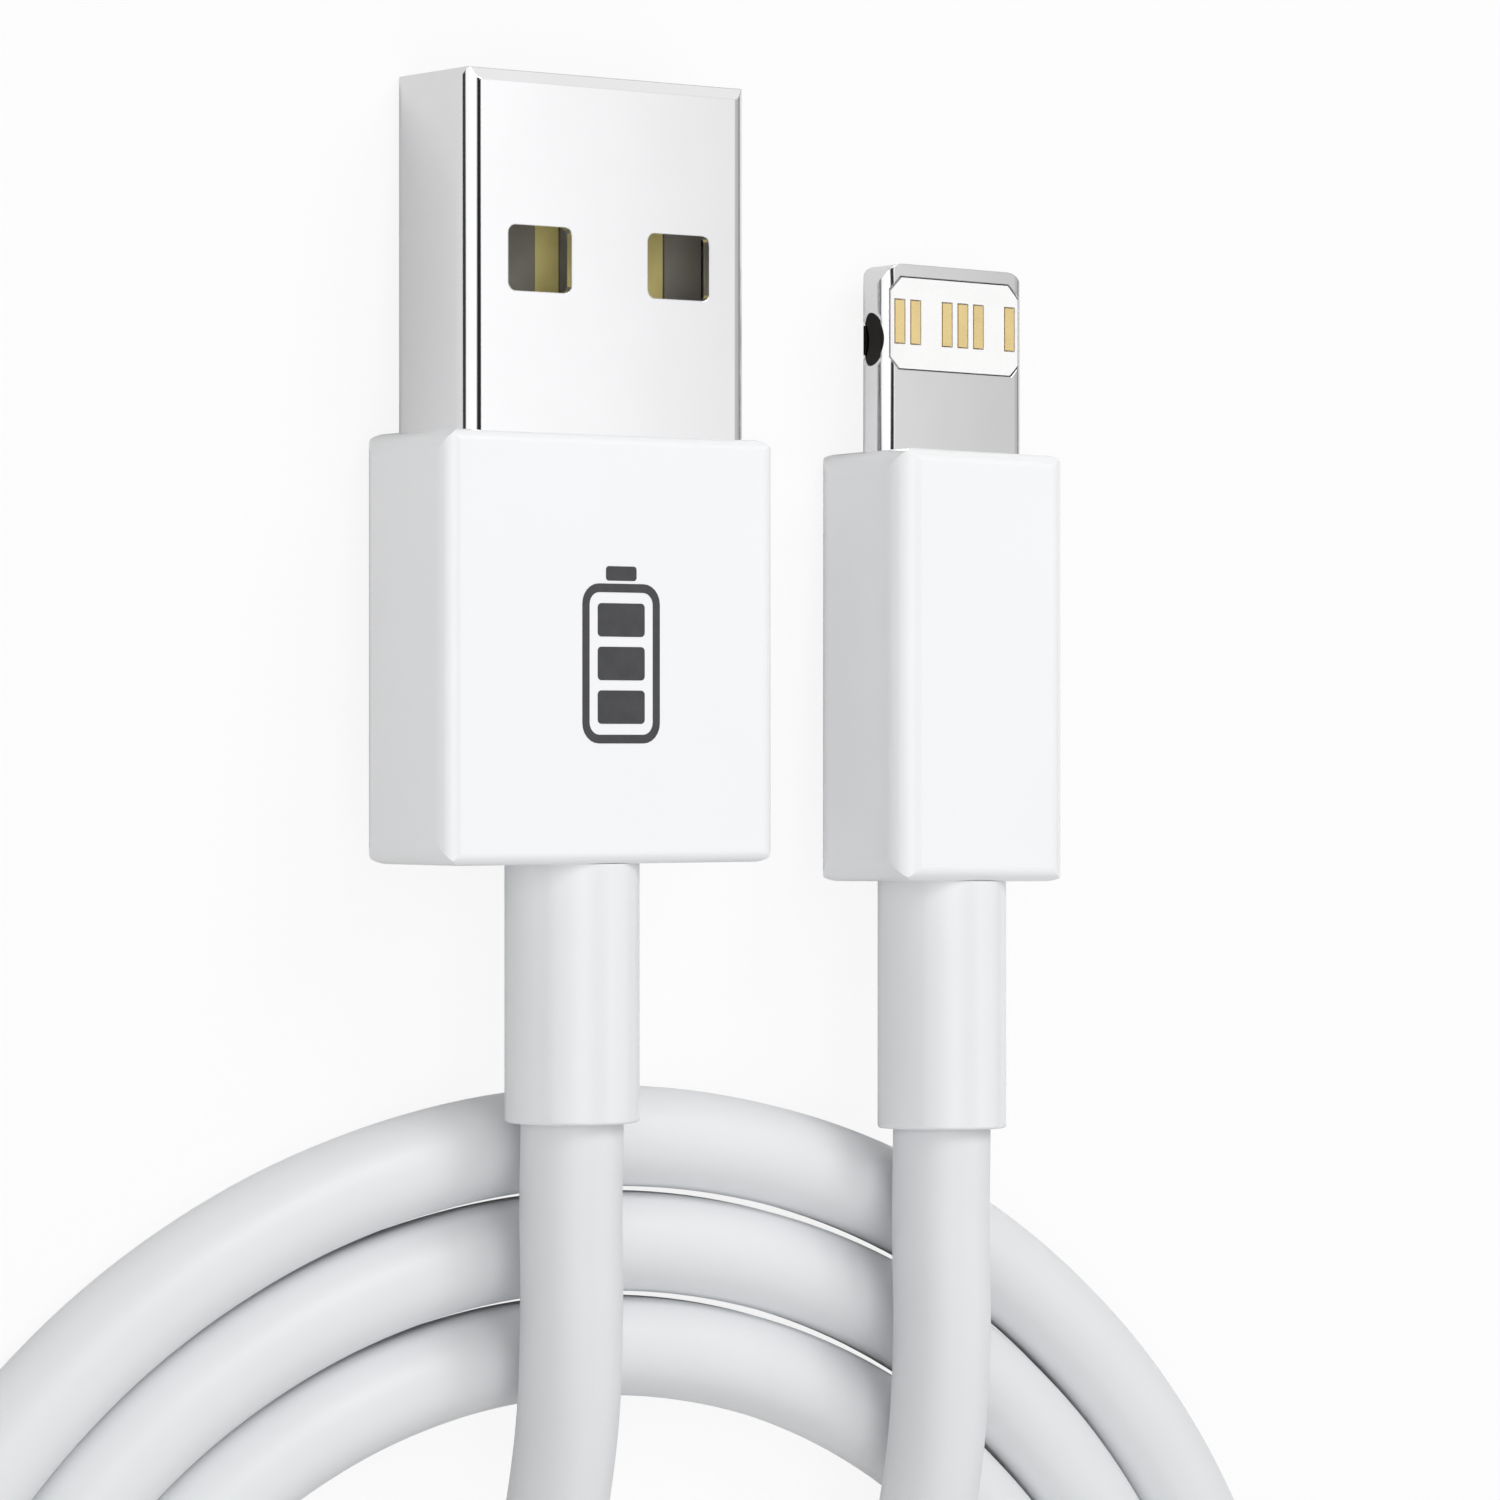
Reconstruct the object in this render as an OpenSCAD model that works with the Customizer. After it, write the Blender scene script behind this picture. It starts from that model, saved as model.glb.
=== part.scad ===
// Charging cable: a USB-A plug and a flat eight-position tab plug on one round cord.
// The cord lies in a flat oval coil of three turns. Both ends come up inside the
// coil, pass over its turns in low humps and lead to the plugs, whose front ends
// touch the surface. Millimetres. Z is up, Y runs along the plugs to their tips.
// Origin: on the surface, under the middle of the two plugs.

/* [Cord] */
// Diameter of the cord's jacket
cord_d = 3.6; // [3.1:0.1:3.9]
// Half of the coil's long axis, to the centre of its outer turn
coil_long = 33; // [31:0.2:35]
// Half of the coil's short axis, to the centre of its outer turn
coil_short = 29.1; // [27:0.1:31]
// Gap between neighbouring turns of the coil
turn_gap = 0.18; // [0.05:0.01:0.2]
// Diameter of one insulated wire in the cord
wire_d = 0.75; // [0.5:0.05:0.85]

/* [Strain reliefs] */
// Outer diameter of the sleeve
sleeve_d = 4.7; // [4.5:0.1:4.9]
// Length of the sleeve outside the housing
sleeve_l = 9; // [6:0.5:14]
// Diameter of the neck that passes the housing's rear wall
neck_d = 4.2; // [4.15:0.05:4.4]
// Thickness of the flange that anchors the sleeve behind the wall
flange_t = 1; // [0.6:0.1:1.1]

/* [USB shell] */
// Width of the metal shell
shell_w = 12; // [11.6:0.1:12.4]
// Thickness of the metal shell
shell_t = 4.5; // [4.3:0.1:4.7]
// Thickness of the shell's sheet metal
shell_wall = 0.3; // [0.2:0.05:0.35]
// Outer corner radius of the shell
shell_r = 0.6; // [0.4:0.05:0.8]
// Length of shell outside the housing
shell_out = 12.3; // [10:0.1:14]
// Length of shell inside the housing
shell_in = 6.4; // [5:0.1:6.6]
// Width of each latch window
window_w = 2.65; // [1.5:0.05:3]
// Length of each latch window
window_l = 2.25; // [1.5:0.05:3]
// Distance from the middle of the shell to the middle of a window
window_x = 2.95; // [2.6:0.05:3.4]
// Distance from the tip to the middle of a window
window_y = 6.4; // [5:0.1:7]

/* [USB tongue] */
// Thickness of the plastic tongue
tongue_t = 1.84; // [1.6:0.02:2]
// Length of the solid block behind the tongue
block_l = 8.2; // [6:0.1:9]
// Distance from the tongue's end to the tip of the shell
tongue_back = 0.6; // [0.3:0.1:1.5]
// Width of a contact
contact_w = 1; // [0.8:0.05:1.2]
// Thickness of a contact
contact_t = 0.25; // [0.15:0.05:0.35]
// Distance from the middle to the two data contacts
data_x = 1; // [0.9:0.05:1.3]
// Distance from the middle to the two power contacts
power_x = 3.5; // [3.2:0.05:4]
// How much further forward the power contacts reach
power_lead = 1; // [0.5:0.1:1.2]

/* [USB housing] */
// Width of the housing
usb_w = 14.1; // [13.5:0.1:16]
// Thickness of the housing
usb_t = 5.1; // [5.1:0.1:7]
// Length of the housing
usb_l = 14.8; // [14.4:0.1:18]
// Radius of the housing's long edges
usb_edge_r = 0.6; // [0.3:0.05:0.75]

/* [Tab plug] */
// Width of the metal tab
tab_w = 6.7; // [6.5:0.05:6.9]
// Thickness of the metal tab
tab_t = 1.5; // [1.3:0.05:1.7]
// Length of the tab outside the housing
tab_out = 6.8; // [6.3:0.1:8]
// Corner radius at the tip of the tab
tab_tip_r = 0.9; // [0.6:0.1:1.2]
// Radius of the tab's long edges
tab_edge_r = 0.5; // [0.3:0.05:0.6]
// Width of the frame's window
insert_w = 6.1; // [5.9:0.05:6.2]
// Length of the frame's window
insert_l = 3.4; // [3:0.1:3.9]
// Width of metal left at the tip, in front of the window
tab_nose = 0.45; // [0.4:0.05:0.8]
// Depth of the scoop in each narrow side
scoop_depth = 0.2; // [0.1:0.02:0.24]
// Height of the scoop across the tab's thickness
scoop_t = 1; // [0.8:0.05:1.1]
// Distance from the tip to the middle of the scoop
scoop_y = 2.75; // [2.4:0.05:3]
// Distance between contact positions
pad_pitch = 0.74; // [0.7:0.01:0.76]
// Width of a contact pad
pad_w = 0.42; // [0.3:0.02:0.5]
// Length of a contact pad
pad_l = 1.55; // [1.2:0.05:1.7]
// Thickness of a contact pad
pad_t = 0.2; // [0.1:0.02:0.25]
// Distance from the tip to the middle of the pads
pad_y = 2.1; // [2:0.05:2.4]

/* [Tab plug housing] */
// Width of the housing
phone_w = 7.9; // [7.7:0.1:9]
// Thickness of the housing
phone_t = 5.2; // [5:0.1:6]
// Length of the housing
phone_l = 15.6; // [15.2:0.1:18]
// Radius of the housing's long edges
phone_edge_r = 0.9; // [0.5:0.05:1.2]
// Wall of the housing at its narrow sides and its faces
phone_wall = 0.5; // [0.4:0.05:0.55]

/* [Circuit board] */
// Width of the board
board_w = 5.4; // [5:0.1:5.5]
// Thickness of the board
board_t = 0.5; // [0.4:0.05:0.6]
// Thickness of the shield's sheet metal
shield_wall = 0.15; // [0.1:0.01:0.2]
// Width and length of the identification chip
chip_size = 2.4; // [1.8:0.1:2.8]
// Height of the identification chip
chip_h = 0.6; // [0.4:0.05:0.8]
// Distance from the board's rear edge to the chip
chip_y = 2; // [1.6:0.1:2.4]
// Length of a capacitor
cap_l = 1; // [0.6:0.1:1.2]
// Gap between the identification chip and the capacitors
part_gap = 0.4; // [0.2:0.05:0.6]

/* [Hidden] */

// Clearance between two pieces that fit into each other
fit = 0.05;

// Where each cord leaves its sleeve
usb_exit = [-7.2, -17.6, 5.6];
phone_exit = [9.7, -18.5, 5.3];
// Turn of the tab plug about Z, towards +X
phone_yaw = 0.9;

// Stations along each plug, from the end of the sleeve
rear_y = sleeve_l;
rear_wall = 1.4;
flange_y = rear_y + rear_wall;
crimp_gap = 0.1;
crimp_y = flange_y + flange_t + crimp_gap;
crimp_l = 1.3;
crimp_wall = 0.2;
// Depth that the crimp ring presses into the jacket
crimp_bite = 0.2;
jacket_y = crimp_y + crimp_l + 0.3;
// Wires run straight out of the jacket, fan out to their places and run on to their end
wire_lead = 0.3;
phone_fan = 2.4;
// The shield starts this far ahead of the jacket's end
shield_start = 0.4;

usb_front_y = rear_y + usb_l;
usb_tip_y = usb_front_y + shell_out;
shell_y = usb_front_y - shell_in;
tail_l = 1.3;
usb_fan = shell_y - tail_l - jacket_y - wire_lead;
tongue_tip_y = usb_tip_y - tongue_back;
shell_lead = 0.4;
shell_lead_depth = 0.15;
tongue_top = -shell_t / 2 + shell_wall + fit + tongue_t;
contact_top = tongue_top - fit;
contact_front = 0.6;

phone_front_y = rear_y + phone_l;
phone_tip_y = phone_front_y + tab_out;
phone_front_wall = 0.9;
phone_end_r = 0.5;
root_l = 0.8;
root_y = phone_front_y - phone_front_wall - root_l;
root_t = 3.4;
cavity_w = phone_w - 2 * phone_wall;
cavity_t = phone_t - 2 * phone_wall;
window_front_y = phone_tip_y - tab_nose;
window_rear_y = window_front_y - insert_l;
board_y = jacket_y + wire_lead + phone_fan + 0.2;
board_l = window_rear_y - board_y;
shield_y = jacket_y + shield_start;
shield_l = root_y - shield_y;
shield_w = cavity_w - 2 * fit;
shield_t = cavity_t - 2 * fit;
// The frame's legs fill the room between the board's edges and the shield
leg_w = (shield_w - board_w) / 2 - shield_wall - 2 * fit;
leg_l = 3;
leg_t = 1.2;

// Nose-down tilt of each plug, so that its front end touches the surface
function tilt(exit_z, corner_y, corner_z, corner_r = 0) =
    asin((exit_z - corner_r) / norm([corner_y, corner_z])) - atan2(corner_z, corner_y);
usb_tilt = tilt(usb_exit[2], usb_tip_y - shell_lead, shell_t / 2);
phone_tilt = tilt(phone_exit[2], phone_front_y - phone_end_r, phone_t / 2 - phone_end_r, phone_end_r);

// Facets of round pieces
$fn = 32;

// ---------------------------------------------------------------- cord route

cord_r = cord_d / 2;
// The cord is cut flat where it lies on the surface, a tenth of its diameter deep
flat_cut = cord_d / 10;
rest_z = cord_r - flat_cut;

// Middle of the coil, turn of its long axis from +X, and the angle where its inner end starts
coil_mid = [-2.2, -48.1];
coil_turn = -18.9;
coil_from = -105;
rings_per_loop = 24;
ring_step = 360 / rings_per_loop;
coil_rings = 66;
coil_pitch = cord_d + turn_gap;
// Angle from the inner end at which the outer turn passes its top and has the given half axes
outer_pass = 885;
function coil_growth(a) = coil_pitch * (a - outer_pass) / 360;
function coil_point(i) =
    let (
        a = i * ring_step,
        t = coil_from - a,
        x = (coil_long + coil_growth(a)) * cos(t),
        y = (coil_short + coil_growth(a)) * sin(t)
    )
    [
        coil_mid[0] + x * cos(coil_turn) - y * sin(coil_turn),
        coil_mid[1] + x * sin(coil_turn) + y * cos(coil_turn),
        rest_z
    ];
function unit(v) = v / norm(v);
// Each end of the coil runs straight for one cord diameter
function straight_end(i, j) = coil_point(i) + cord_d * unit(coil_point(j) - coil_point(i));
coil_path = concat(
    [straight_end(0, -1)],
    [for (i = [0 : coil_rings]) coil_point(i)],
    [straight_end(coil_rings, coil_rings + 1)]
);
coil_start_dir = unit(coil_path[1] - coil_path[0]);
coil_stop_dir = unit(coil_path[coil_rings + 2] - coil_path[coil_rings + 1]);

// From the USB sleeve over the turns, through the coil and over them again to the outer end
usb_route = [
    usb_exit, [-7.2, -20.5, 5.8], [-7, -24, 5.9], [-6.6, -28, 5.5], [-6.2, -32, 4.5],
    [-5.9, -36.5, 3], [-5.7, -40.5, 2], [-5.6, -43.5, 1.6], [-5.4, -47, 2], [-5, -51.5, 3.1],
    [-4.1, -56.7, 4.5], [-2.9, -62.8, 5.6], [0.1, -68.2, 5.9], [4.9, -72.6, 5.9],
    [10.4, -74.8, 5.7], [16, -75, 4.9], [20.9, -72.6, 3.4]
];
// From the tab plug's sleeve over the turns and round to the inner end
phone_route = [
    phone_exit, [9.6, -22, 5.7], [9.8, -26, 5.9], [10, -30, 5.7], [10.2, -34, 4.9],
    [10.4, -38.5, 3.4], [10.5, -43, 2.1], [10.5, -48.5, 1.5], [10.2, -54, 1.5], [8.6, -59.6, 1.5],
    [5.2, -64, 1.5], [0.2, -66.8, 1.5], [-5.6, -67.4, 1.5]
];

// Cross-sections of the cord as [side, up] pairs, on a circle of radius 1
tube_section = [for (k = [0 : 7]) [cos(22.5 + 45 * k), sin(22.5 + 45 * k)]];
// A loop has six sides, upright at its neighbours, and its lowest corner is cut flat
cut_up = -(cord_r - flat_cut) / cord_r;
cut_side = (1 + cut_up) / tan(30);
loop_section = [
    [0, 1], [-cos(30), 0.5], [-cos(30), -0.5], [-cut_side, cut_up],
    [cut_side, cut_up], [cos(30), -0.5], [cos(30), 0.5]
];

// Direction of a path at point i, with the two end directions given
function heading(path, i, first, last) =
    i == 0 ? first
    : i == len(path) - 1 ? last
    : unit(unit(path[i + 1] - path[i]) + unit(path[i] - path[i - 1]));
// One ring of a tube of radius r, with no point below the height low
function ring(p, dir, section, r, low) =
    let (side = unit(cross(dir, [0, 0, 1])), up = cross(side, dir))
    [for (s = section) let (q = p + r * (s[0] * side + s[1] * up)) [q[0], q[1], max(low, q[2])]];
function rings(path, section, r, first, last, low = 0) =
    [for (i = [0 : len(path) - 1]) ring(path[i], heading(path, i, first, last), section, r, low)];
function flatten(list) = [for (part = list) for (item = part) item];

module tube(ring_list) {
    n = len(ring_list[0]);
    count = len(ring_list);
    sides = [
        for (i = [0 : count - 2]) for (k = [0 : n - 1])
        let (a = i * n + k, b = i * n + (k + 1) % n)
        each [[a, b, a + n], [b, b + n, a + n]]
    ];
    start_cap = [for (k = [1 : n - 2]) [0, k + 1, k]];
    last = (count - 1) * n;
    end_cap = [for (k = [1 : n - 2]) [last, last + k, last + k + 1]];
    polyhedron(points = flatten(ring_list), faces = concat(sides, start_cap, end_cap), convexity = 10);
}

coil_ring_list = rings(coil_path, loop_section, cord_r, coil_start_dir, coil_stop_dir);
// Least distance from the coil to itself, over the points of rings one loop apart
function ring_gap(a, b) = min([for (p = a) for (q = b) norm(p - q)]);
coil_gap = min([
    for (i = [0 : len(coil_ring_list) - 1 - rings_per_loop]) for (j = [-1 : 1])
    let (other = i + rings_per_loop + j)
    if (other < len(coil_ring_list)) ring_gap(coil_ring_list[i], coil_ring_list[other])
]);
echo(least_gap_of_the_coil_to_itself = coil_gap);

// ---------------------------------------------------------------- shared shapes

module at_usb() {
    translate(usb_exit) rotate([-usb_tilt, 0, 0]) children();
}

module at_phone() {
    translate(phone_exit) rotate([-phone_tilt, 0, -phone_yaw]) children();
}

// Extrudes an X-Z outline along Y
module along(y, l) {
    translate([0, y + l, 0]) rotate([90, 0, 0]) linear_extrude(l) children();
}

// Extrudes an X-Y outline through Z, centred
module through_z(t) {
    translate([0, 0, -t / 2]) linear_extrude(t) children();
}

module round_rect(w, h, r) {
    square([w - 2 * r, h], center = true);
    square([w, h - 2 * r], center = true);
    for (x = [-1, 1]) for (y = [-1, 1])
        translate([x * (w / 2 - r), y * (h / 2 - r)]) circle(r);
}

// Block with rounded edges on all sides, from y to y + l
module soft_block(w, t, y, l, edge_r, corner_r, end_r) {
    intersection() {
        along(y, l) round_rect(w, t, edge_r);
        translate([0, y + l / 2, 0]) through_z(t) round_rect(w, l, corner_r);
        translate([0, y + l / 2, 0]) rotate([90, 0, 90]) through_z(w) round_rect(l, t, end_r);
    }
}

module bar(w, t, y, l, z = 0) {
    translate([-w / 2, y, z - t / 2]) cube([w, l, t]);
}

module rod_y(d, y, l) {
    translate([0, y, 0]) rotate([-90, 0, 0]) cylinder(d = d, h = l);
}

// Sleeve with a neck through the housing's rear wall and a flange behind it
module strain_relief(flange_w, flange_h) {
    lip = 0.12;
    bore_r = cord_r + fit;
    rotate([-90, 0, 0]) rotate_extrude() {
        translate([bore_r, lip]) square([sleeve_d / 2 - bore_r, sleeve_l - lip]);
        translate([bore_r, 0]) square([sleeve_d / 2 - lip - bore_r, sleeve_l]);
        translate([sleeve_d / 2 - lip, lip]) circle(lip);
        translate([bore_r, 0]) square([neck_d / 2 - bore_r, flange_y + flange_t]);
    }
    along(flange_y, flange_t) difference() {
        round_rect(flange_w, flange_h, 0.5);
        circle(bore_r);
    }
}

// End of the jacket inside the plug, with a waist where the crimp ring bites
module jacket_end() {
    waist_d = cord_d - 2 * crimp_bite;
    rod_y(cord_d, 0, crimp_y - fit);
    rod_y(waist_d, 0, jacket_y);
    rod_y(cord_d, crimp_y + crimp_l + fit, jacket_y - crimp_y - crimp_l - fit);
}

// Ring crimped round the jacket, with an ear on each side
module crimp_ring() {
    ear = 0.5;
    inner_d = cord_d - 2 * crimp_bite + 2 * fit;
    outer_d = inner_d + 2 * crimp_wall;
    along(crimp_y, crimp_l) difference() {
        union() {
            circle(d = outer_d);
            square([outer_d + 2 * ear, 3 * crimp_wall], center = true);
        }
        circle(d = inner_d);
    }
}

// Wires leave the jacket at the corners of a square
bundle = 0.6;
wire_starts = [[-bundle, bundle], [-bundle, -bundle], [bundle, -bundle], [bundle, bundle]];
wire_steps = 6;
function ease(s) = s * s * (3 - 2 * s);
function wire_path(start, place, z, fan, end_y) = concat(
    [[start[0], jacket_y, start[1]]],
    [
        for (k = [0 : wire_steps])
        let (s = k / wire_steps, e = ease(s))
        [
            start[0] + (place - start[0]) * e,
            jacket_y + wire_lead + fan * s,
            start[1] + (z - start[1]) * e
        ]
    ],
    [[place, end_y, z]]
);

module wire(path, d) {
    straight = [0, 1, 0];
    tube(rings(path, tube_section, d / 2, straight, straight, -usb_t));
}

usb_places = [-power_x, -data_x, data_x, power_x];
usb_wire_z = contact_top + wire_d / 2 + 0.02;
usb_wire_end = shell_y - 0.2;
phone_places = [-2, -0.7, 0.7, 2];
phone_wire_z = board_t / 2 + wire_d / 2 + 0.02;
phone_wire_end = board_y + 1.3;

module usb_wire(i, d = wire_d) {
    wire(wire_path(wire_starts[i], usb_places[i], usb_wire_z, usb_fan, usb_wire_end), d);
}

module phone_wire(i, d = wire_d) {
    wire(wire_path(wire_starts[i], phone_places[i], phone_wire_z, phone_fan, phone_wire_end), d);
}

// ---------------------------------------------------------------- USB plug

// The seam where the rolled shell closes: a slit that goes round a dovetail tab
module seam() {
    h = 0.04;
    tab_l = 1.5;
    tab_reach = 1.3;
    flare = 0.3;
    y0 = shell_y - 1;
    y1 = shell_y + 0.62 * (usb_tip_y - shell_y);
    y2 = y1 + tab_l;
    polygon([
        [-h, y0], [-h, y1 - h], [-tab_reach - h, y1 - flare - h],
        [-tab_reach - h, y2 + flare + h], [-h, y2 + h], [-h, usb_tip_y + 1],
        [h, usb_tip_y + 1], [h, y2 - h], [-tab_reach + h, y2 + flare - h],
        [-tab_reach + h, y1 - flare + h], [h, y1 + h], [h, y0]
    ]);
}

// Outline of the shell from above or from the side, with its lead-in at the tip
module lead_outline(w) {
    polygon([
        [-w / 2, shell_y], [w / 2, shell_y], [w / 2, usb_tip_y - shell_lead],
        [w / 2 - shell_lead_depth, usb_tip_y], [-w / 2 + shell_lead_depth, usb_tip_y],
        [-w / 2, usb_tip_y - shell_lead]
    ]);
}

module usb_shell() {
    color("silver") at_usb() difference() {
        intersection() {
            along(shell_y, usb_tip_y - shell_y) difference() {
                round_rect(shell_w, shell_t, shell_r);
                round_rect(shell_w - 2 * shell_wall, shell_t - 2 * shell_wall, shell_r - shell_wall);
            }
            through_z(shell_t) lead_outline(shell_w);
            rotate([0, 90, 0]) through_z(shell_w) lead_outline(shell_t);
        }
        for (x = [-1, 1]) translate([x * window_x, usb_tip_y - window_y, 0])
            through_z(shell_t + 2) round_rect(window_w, window_l, 0.3);
        translate([0, 0, -shell_t / 2]) through_z(3 * shell_wall) seam();
    }
}

module contact_channel(x) {
    w = contact_w + 2 * fit;
    depth = contact_t + 2 * fit;
    translate([x, 0, 0]) {
        bar(w, depth, shell_y - 1, block_l + 2, contact_top + fit - depth / 2);
        bar(w, 2 * depth, shell_y + block_l, usb_tip_y - shell_y, contact_top + fit);
    }
}

module usb_tongue() {
    w = shell_w - 2 * shell_wall - 2 * fit;
    t = shell_t - 2 * shell_wall - 2 * fit;
    tongue_l = tongue_tip_y - shell_y;
    slope = 0.5;
    color("#26282b") at_usb() difference() {
        intersection() {
            union() {
                bar(w, t, shell_y, block_l);
                bar(w, tongue_t, shell_y, tongue_l, tongue_top - tongue_t / 2);
            }
            along(shell_y, tongue_l) round_rect(w, t, 0.25);
            rotate([90, 0, 90]) through_z(w) polygon([
                [shell_y, -t / 2], [tongue_tip_y, -t / 2], [tongue_tip_y, tongue_top - slope],
                [tongue_tip_y - slope, tongue_top], [tongue_tip_y - slope, t / 2], [shell_y, t / 2]
            ]);
        }
        for (x = usb_places) contact_channel(x);
    }
}

// Flat spring strip in the tongue, with a narrower tail for the wire
module usb_contact(x, lead) {
    tail_w = 0.8 * contact_w;
    z = contact_top - contact_t / 2;
    front = tongue_tip_y - contact_front - power_lead + lead;
    color("goldenrod") at_usb() translate([x, 0, 0]) {
        bar(contact_w, contact_t, shell_y, front - shell_y, z);
        bar(tail_w, contact_t, shell_y - tail_l, tail_l, z);
    }
}

module usb_contact_vbus() { usb_contact(-power_x, power_lead); }
module usb_contact_dminus() { usb_contact(-data_x, 0); }
module usb_contact_dplus() { usb_contact(data_x, 0); }
module usb_contact_gnd() { usb_contact(power_x, power_lead); }

module usb_wire_red() { color("firebrick") at_usb() usb_wire(0); }
module usb_wire_white() { color("whitesmoke") at_usb() usb_wire(1); }
module usb_wire_green() { color("seagreen") at_usb() usb_wire(2); }
module usb_wire_black() { color("#202020") at_usb() usb_wire(3); }

module usb_jacket_end() { color("#f2f2ef") at_usb() jacket_end(); }
module usb_crimp_ring() { color("silver") at_usb() crimp_ring(); }

// Soft plastic that fills the housing behind the shell and holds the wires still
module usb_inner_mould() {
    start = jacket_y - 0.2;
    color("#e4e6df") at_usb() difference() {
        along(start, shell_y - start) round_rect(shell_w, shell_t, shell_r);
        rod_y(cord_d + 2 * fit, start - 1, jacket_y - start + 1);
        for (i = [0 : 3]) usb_wire(i, wire_d + 2 * fit);
        for (x = usb_places) translate([x, 0, 0])
            bar(contact_w + 2 * fit, contact_t + 2 * fit + wire_d / 2,
                shell_y - tail_l - fit, tail_l + 1, contact_top - contact_t / 2 + wire_d / 4);
    }
}

module usb_housing() {
    color("#fafaf8") at_usb() difference() {
        soft_block(usb_w, usb_t, rear_y, usb_l, usb_edge_r, 0.8, 0.4);
        along(rear_y + rear_wall, usb_l)
            round_rect(shell_w + 2 * fit, shell_t + 2 * fit, shell_r + fit);
        rod_y(neck_d + 2 * fit, rear_y - 1, rear_wall + 2);
    }
}

module usb_strain_relief() {
    color("#fafaf8") at_usb() strain_relief(shell_w - 1, shell_t);
}

// ---------------------------------------------------------------- tab plug

// Outline of the frame's window, smaller by c all round, with cut corners
module window_outline(c = 0) {
    front_cut = 0.5;
    rear_cut = 0.4;
    x = insert_w / 2 - c;
    y0 = window_rear_y + c;
    y1 = window_front_y - c;
    polygon([
        [-x, y0 + rear_cut], [-x + rear_cut, y0], [x - rear_cut, y0], [x, y0 + rear_cut],
        [x, y1 - front_cut], [x - front_cut, y1], [-x + front_cut, y1], [-x, y1 - front_cut]
    ]);
}

module tab_outline() {
    back = root_y + root_l - 0.1;
    translate([-tab_w / 2, back]) square([tab_w, phone_tip_y - tab_tip_r - back]);
    translate([-tab_w / 2 + tab_tip_r, back]) square([tab_w - 2 * tab_tip_r, phone_tip_y - back]);
    for (x = [-1, 1]) translate([x * (tab_w / 2 - tab_tip_r), phone_tip_y - tab_tip_r])
        circle(tab_tip_r);
}

// Steel frame: tab with its window and side scoops, root flange and two legs for the board
module phone_tab_frame() {
    scoop_r = 2.5;
    back = root_y + root_l - 0.1;
    color("#c4c6c8") at_phone() difference() {
        union() {
            intersection() {
                along(back, phone_tip_y - back) round_rect(tab_w, tab_t, tab_edge_r);
                through_z(tab_t) tab_outline();
            }
            along(root_y, root_l) round_rect(shield_w, root_t, 0.4);
            for (x = [-1, 1]) translate([x * (board_w / 2 + fit + leg_w / 2), 0, 0])
                bar(leg_w, leg_t, root_y - leg_l, leg_l + 0.1);
        }
        through_z(tab_t + 2) window_outline();
        bar(board_w + 2 * fit, board_t + 2 * fit, root_y - 1, window_rear_y - root_y + 1.5);
        // The steel stays clear of the pads, whatever their pitch and the window's width
        pad_row(fit);
        for (x = [-1, 1])
            translate([x * (tab_w / 2 + scoop_r - scoop_depth), phone_tip_y - scoop_y, -scoop_t / 2])
                cylinder(r = scoop_r, h = scoop_t);
    }
}

// Eight positions across the tab; the third and the seventh are empty
function pad_x(i) = (i - 4.5) * pad_pitch;
pad_positions = [1, 2, 4, 5, 6, 8];

module pad(i, side, grow = 0) {
    translate([pad_x(i), 0, side * (tab_t / 2 - pad_t / 2)])
        bar(pad_w + 2 * grow, pad_t + 2 * grow,
            phone_tip_y - pad_y - pad_l / 2 - grow, pad_l + 2 * grow);
}

// All pads, larger by grow all round
module pad_row(grow) {
    for (i = pad_positions) for (side = [-1, 1]) pad(i, side, grow);
}

module phone_tab_insert() {
    color("#f4f4f2") at_phone() difference() {
        intersection() {
            through_z(tab_t) window_outline(fit);
            along(window_rear_y, insert_l) round_rect(tab_w, tab_t, tab_edge_r);
        }
        pad_row(fit);
    }
}

module phone_pad(i, side) { color("goldenrod") at_phone() pad(i, side); }
module phone_pad_front_1() { phone_pad(1, 1); }
module phone_pad_front_2() { phone_pad(2, 1); }
module phone_pad_front_4() { phone_pad(4, 1); }
module phone_pad_front_5() { phone_pad(5, 1); }
module phone_pad_front_6() { phone_pad(6, 1); }
module phone_pad_front_8() { phone_pad(8, 1); }
module phone_pad_back_1() { phone_pad(1, -1); }
module phone_pad_back_2() { phone_pad(2, -1); }
module phone_pad_back_4() { phone_pad(4, -1); }
module phone_pad_back_5() { phone_pad(5, -1); }
module phone_pad_back_6() { phone_pad(6, -1); }
module phone_pad_back_8() { phone_pad(8, -1); }

module phone_board() {
    color("#1f5f3c") at_phone() bar(board_w, board_t, board_y, board_l);
}

// A part soldered on the board's front or back, with its middle at x
module on_board(w, l, h, x, y, side = 1) {
    at_phone() translate([x, 0, 0]) bar(w, h, y, l, side * (board_t + h) / 2);
}

module phone_id_chip() { color("#1c1d20") on_board(chip_size, chip_size, chip_h, 0, board_y + chip_y); }
module phone_power_chip() { color("#1c1d20") on_board(1.8, 1.6, 0.5, 0, board_y + chip_y, -1); }

module phone_capacitor(i) {
    color("#b09a78") on_board(0.5, cap_l, 0.5, i * 1.4, board_y + chip_y + chip_size + part_gap);
}
module phone_capacitor_1() { phone_capacitor(-1); }
module phone_capacitor_2() { phone_capacitor(0); }
module phone_capacitor_3() { phone_capacitor(1); }

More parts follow.
